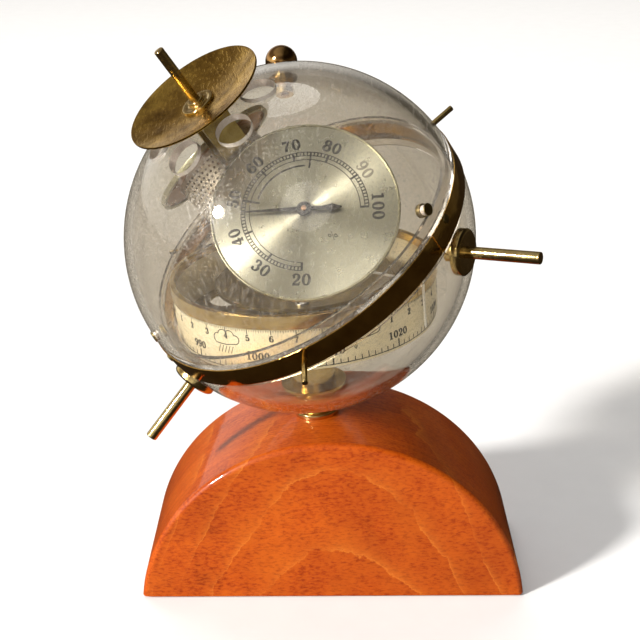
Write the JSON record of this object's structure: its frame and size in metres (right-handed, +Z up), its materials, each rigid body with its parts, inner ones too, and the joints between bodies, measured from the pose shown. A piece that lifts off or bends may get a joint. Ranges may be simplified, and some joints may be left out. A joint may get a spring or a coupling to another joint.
{
  "type": "desk weather station",
  "caption": "Clear globe weather station with hygrometer, thermometer and drum barometer, brass band, dish and aerial rods, on an arched wood block.",
  "frame": {"origin": "middle of the felt face that the block rests on", "axes": "+Z up, +X to the right of a person facing the half-round front, -Y towards that person"},
  "size_m": [0.1393, 0.1539, 0.1983],
  "materials": {
    "stained_wood": "stained and gloss lacquered beech",
    "felt": "pressed felt",
    "steel": "bright zinc plated",
    "brass": "polished and lacquered, slightly aged",
    "polished_brass": "mirror polished strip",
    "dark_brass": "dull, darkened",
    "clear_dome": "clear acrylic, lightly smoked and scratched",
    "clear_bowl": "clear acrylic, lightly scratched",
    "clear_ring": "clear acrylic",
    "dial_face": "spun, champagne anodised, printed in black",
    "perforated_sheet": "thin perforated sheet",
    "copper_strip": "rolled bimetal strip",
    "black_enamel": "satin black",
    "white_enamel": "gloss white",
    "printed_drum": "pale gold, printed in black"
  },
  "bodies": {
    "base": {"base_block": "stained_wood", "felt_pad": "felt", "stud": "steel", "stud_washer": "steel", "foot_flange": "brass", "foot_collar": "brass", "globe_washer": "steel", "globe_nut": "steel"},
    "globe": {"bowl": "clear_bowl", "dome": "clear_dome", "joint_ring": "clear_ring", "band": "polished_brass", "band_pins": "brass", "band_rivets": "brass", "dome_screws": "brass", "aerial_rod_1": "brass", "aerial_rod_2": "brass", "aerial_rod_3": "brass", "aerial_flange_1": "brass", "aerial_flange_2": "brass", "aerial_flange_3": "brass", "aerial_nuts": "brass", "dish": "brass", "dish_rod": "brass", "dish_hub": "brass", "dish_spacer": "brass", "pole_nut": "steel", "ball_knob": "brass", "ball_nut": "brass", "instrument_bracket": "brass", "hygrometer_dial": "dial_face", "hygrometer_bezel": "dark_brass", "hygrometer_case": "perforated_sheet", "hygrometer_coil": "copper_strip", "thermometer_dial": "dial_face", "thermometer_bezel": "dark_brass", "thermometer_case": "perforated_sheet", "thermometer_coil": "copper_strip", "pedestal": "brass", "drum": "printed_drum", "drum_ring": "brass", "drum_floor": "dark_brass", "movement_pillars": "brass", "movement_plate": "dark_brass", "pressure_capsule": "steel", "capsule_spring": "steel", "sector_pivot": "steel", "pointer_bridge": "steel"},
    "hygrometer_hand": {"hygrometer_needle": "black_enamel"},
    "thermometer_hand": {"thermometer_needle": "black_enamel"},
    "barometer_hand": {"pointer_arbor": "steel", "pressure_pointer": "white_enamel"},
    "sector": {"sector_lever": "brass"}
  },
  "joints": [
    {"name": "globe_turn", "type": "hinge", "parent": "base", "child": "globe", "pos_m": [-0.01016, 0, 0.12812], "axis": [-0.075, 0, 0.9972], "continuous": true},
    {"name": "hygrometer_reading", "type": "hinge", "parent": "globe", "child": "hygrometer_hand", "pos_m": [-0.0077, -0.03297, 0.14863], "axis": [-0.0977, -0.7471, 0.6575], "range_deg": [-180, 86.7], "stiffness_Nm_per_rad": 0.000001},
    {"name": "thermometer_reading", "type": "hinge", "parent": "globe", "child": "thermometer_hand", "pos_m": [-0.04108, 0.02065, 0.15217], "axis": [-0.6929, 0.2991, 0.6561], "range_deg": [-123.3, 143.3], "stiffness_Nm_per_rad": 0.000001},
    {"name": "barometer_reading", "type": "hinge", "parent": "globe", "child": "barometer_hand", "pos_m": [-0.00952, 0, 0.11964], "axis": [-0.075, 0, 0.9972], "range_deg": [-191.8, 103.2], "stiffness_Nm_per_rad": 0.0001},
    {"name": "sector_swing", "type": "hinge", "parent": "globe", "child": "sector", "pos_m": [-0.02816, 0.004, 0.11413], "axis": [-0.075, 0, 0.9972], "range_deg": [-17.3, 31.2]}
  ],
  "couplings": [
    {"joint": "sector_swing", "follows": "barometer_reading", "ratio": -0.1576}
  ]
}
